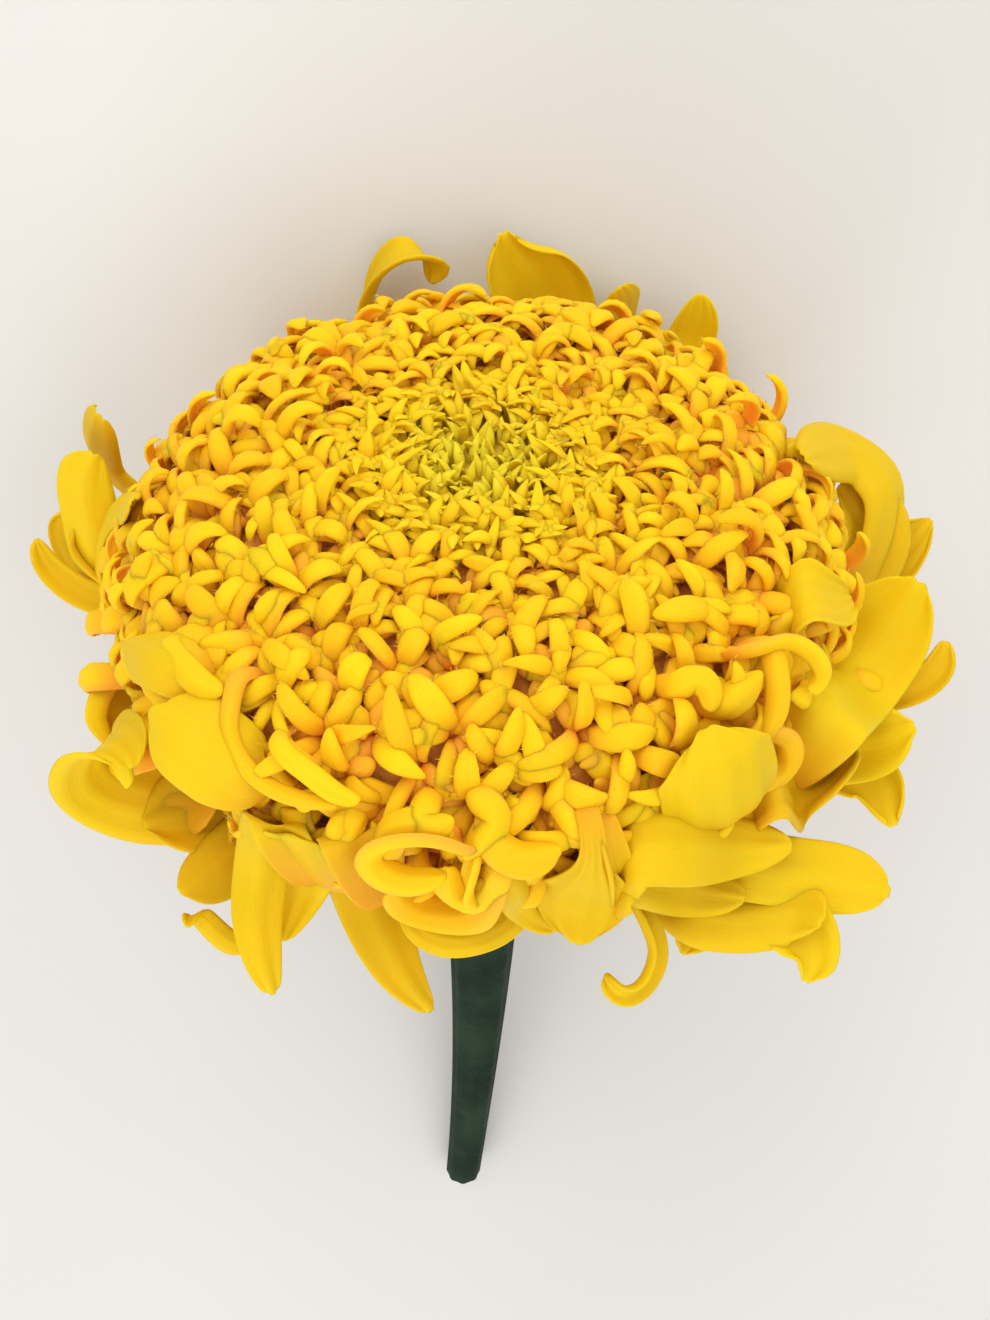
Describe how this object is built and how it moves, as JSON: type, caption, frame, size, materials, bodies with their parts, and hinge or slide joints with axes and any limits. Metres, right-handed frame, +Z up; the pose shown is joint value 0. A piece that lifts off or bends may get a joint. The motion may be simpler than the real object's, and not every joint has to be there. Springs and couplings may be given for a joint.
{
  "type": "marigold flower",
  "caption": "Large double marigold head with curled yellow florets, a rim of broader petals and a green cup, on a cut length of its stem, lying on its side",
  "frame": {"origin": "on the surface that the flower lies on, under the middle of the whole flower", "axes": "+Z up; the flower's face looks towards -Y and 24 degrees up, its stem runs back towards +Y, and +X is to the right when looking along +Y at the face"},
  "size_m": [0.1038, 0.137, 0.0833],
  "materials": {
    "stem": "dull, finely ribbed green plant stem",
    "involucre": "dull green bracts",
    "ray_florets": "soft satin golden-yellow petals",
    "disc_florets": "soft satin yellow florets",
    "young_florets": "soft olive-yellow unopened florets"
  },
  "bodies": {
    "root": {"stem": "stem", "involucre": "involucre", "ray_florets": "ray_florets", "disc_florets": "disc_florets", "young_florets": "young_florets"}
  },
  "joints": []
}
